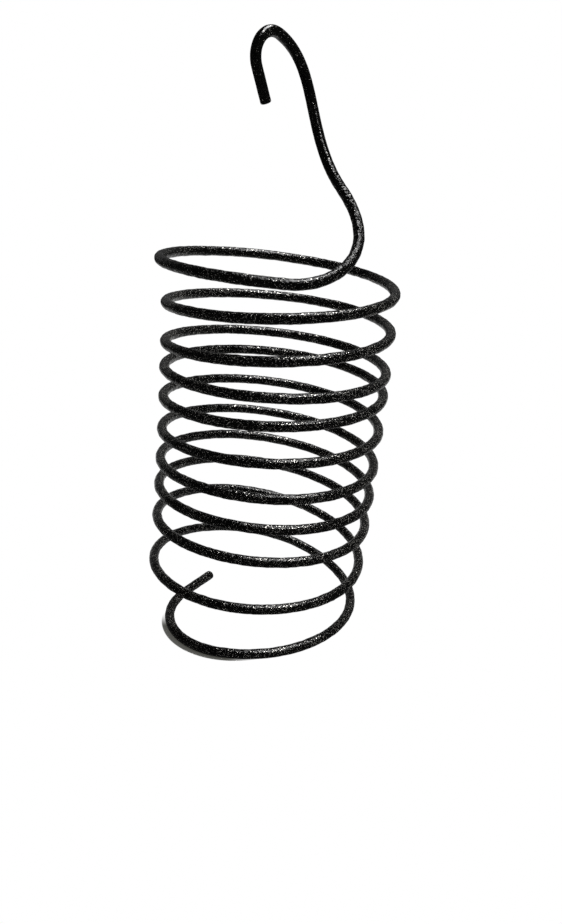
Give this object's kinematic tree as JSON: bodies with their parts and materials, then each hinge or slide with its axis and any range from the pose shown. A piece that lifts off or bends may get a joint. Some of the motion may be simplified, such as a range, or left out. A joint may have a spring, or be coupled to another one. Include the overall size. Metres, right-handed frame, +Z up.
{
  "type": "spiral plant support",
  "caption": "Hanging spiral holder bent from one steel wire: an open coil on a flat foot ring, a swept neck and a hook at the top.",
  "frame": {"origin": "middle of the bottom of the whole wire's box, on the plane that the foot ring stands on", "axes": "+Z up along the coil towards the hook, +Y from the front to the back, +X to the side that the coil leans to"},
  "size_m": [0.1085, 0.102, 0.2413],
  "materials": {
    "hammered_black_coat": "black powder coat with fine silver specks, slightly lumpy, half gloss"
  },
  "bodies": {
    "root": {"spiral_wire": "hammered_black_coat"}
  },
  "joints": []
}
